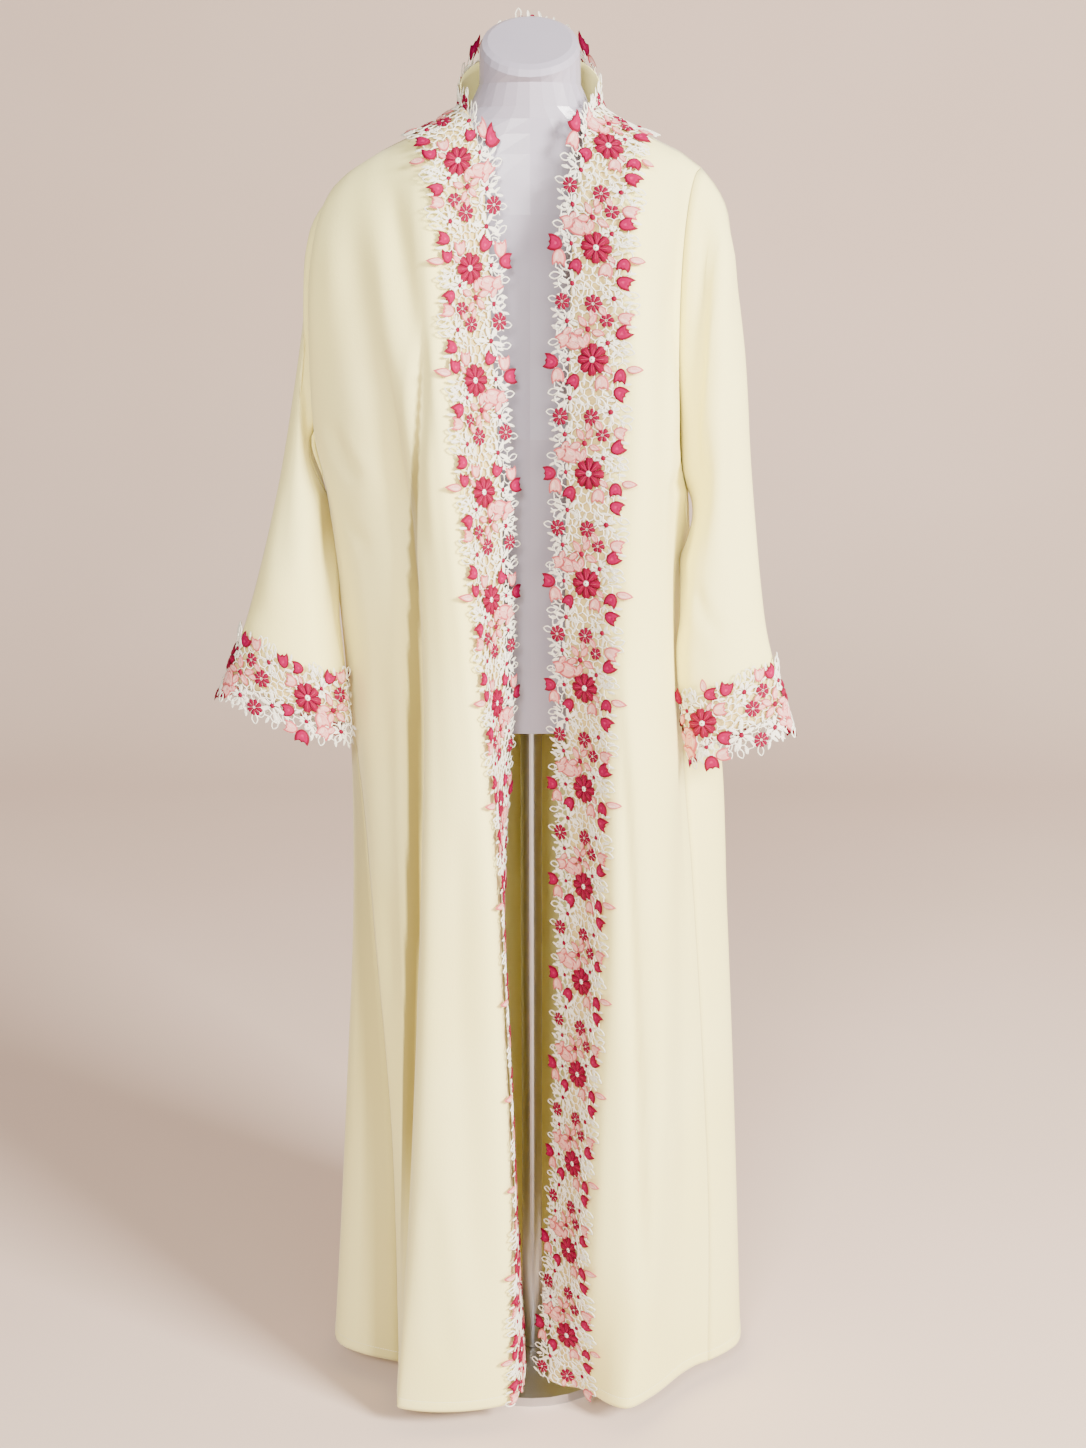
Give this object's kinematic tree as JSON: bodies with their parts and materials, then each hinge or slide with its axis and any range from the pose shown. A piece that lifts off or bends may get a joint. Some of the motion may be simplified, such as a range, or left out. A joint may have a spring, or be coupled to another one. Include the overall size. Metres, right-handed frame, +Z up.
{
  "type": "open-front abaya cloak on a limbless dress form with a stand",
  "caption": "Long open-front abaya cloak with wide sleeves and a flower lace edging along the fronts, neck and cuffs, worn on a limbless dress form on a round base.",
  "frame": {"origin": "on the flat underside of the round base, on the floor plumb under the middle of the neck", "axes": "+Z up, the garment's front faces -Y, the wearer's right side is towards -X"},
  "size_m": [0.6391, 0.3058, 1.5922],
  "materials": {
    "crepe": "matt crepe, soft sheen",
    "lace": "white cord lace with red and pink flowers",
    "form_plastic": "satin gloss",
    "stand_steel": "brushed"
  },
  "bodies": {
    "root": {"front_right": "crepe", "front_left": "crepe", "back": "crepe", "collar_stand": "crepe", "sleeve_right_front": "crepe", "sleeve_right_back": "crepe", "sleeve_left_front": "crepe", "sleeve_left_back": "crepe", "lace_front_right": "lace", "lace_front_left": "lace", "lace_collar_right": "lace", "lace_collar_left": "lace", "lace_cuff_right_front": "lace", "lace_cuff_right_back": "lace", "lace_cuff_left_front": "lace", "lace_cuff_left_back": "lace", "form_body": "form_plastic", "form_pole": "stand_steel", "form_base": "stand_steel"}
  },
  "joints": []
}
